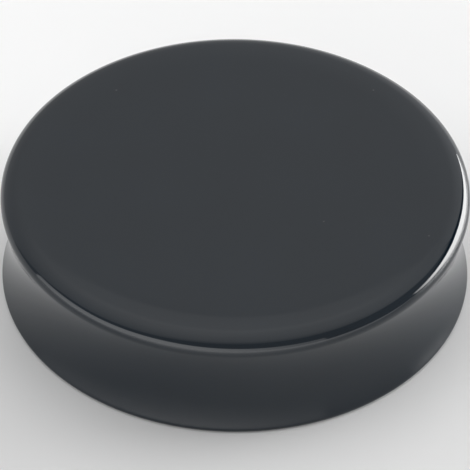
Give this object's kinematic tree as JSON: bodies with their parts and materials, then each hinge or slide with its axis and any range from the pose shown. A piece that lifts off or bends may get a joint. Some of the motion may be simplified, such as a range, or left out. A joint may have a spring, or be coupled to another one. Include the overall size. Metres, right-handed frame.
{
  "type": "board magnet",
  "caption": "Round waisted board magnet: a glossy dark plastic cap with a flat top and rolled rim, which holds a recessed ferrite disc against a steel board.",
  "frame": {"origin": "centre of the underside, in the plane that meets the board", "axes": "+Z along the axis of revolution, out through the flat top; X and Y are free by symmetry, and one seat rib lies along +X"},
  "size_m": [0.03, 0.03, 0.0078],
  "materials": {
    "cap_plastic": "polished anthracite, a little soft in its reflections",
    "ferrite": "ground matt dark grey",
    "glue": "clear amber, cured"
  },
  "bodies": {
    "root": {"cap": "cap_plastic", "magnet": "ferrite", "adhesive": "glue"}
  },
  "joints": []
}
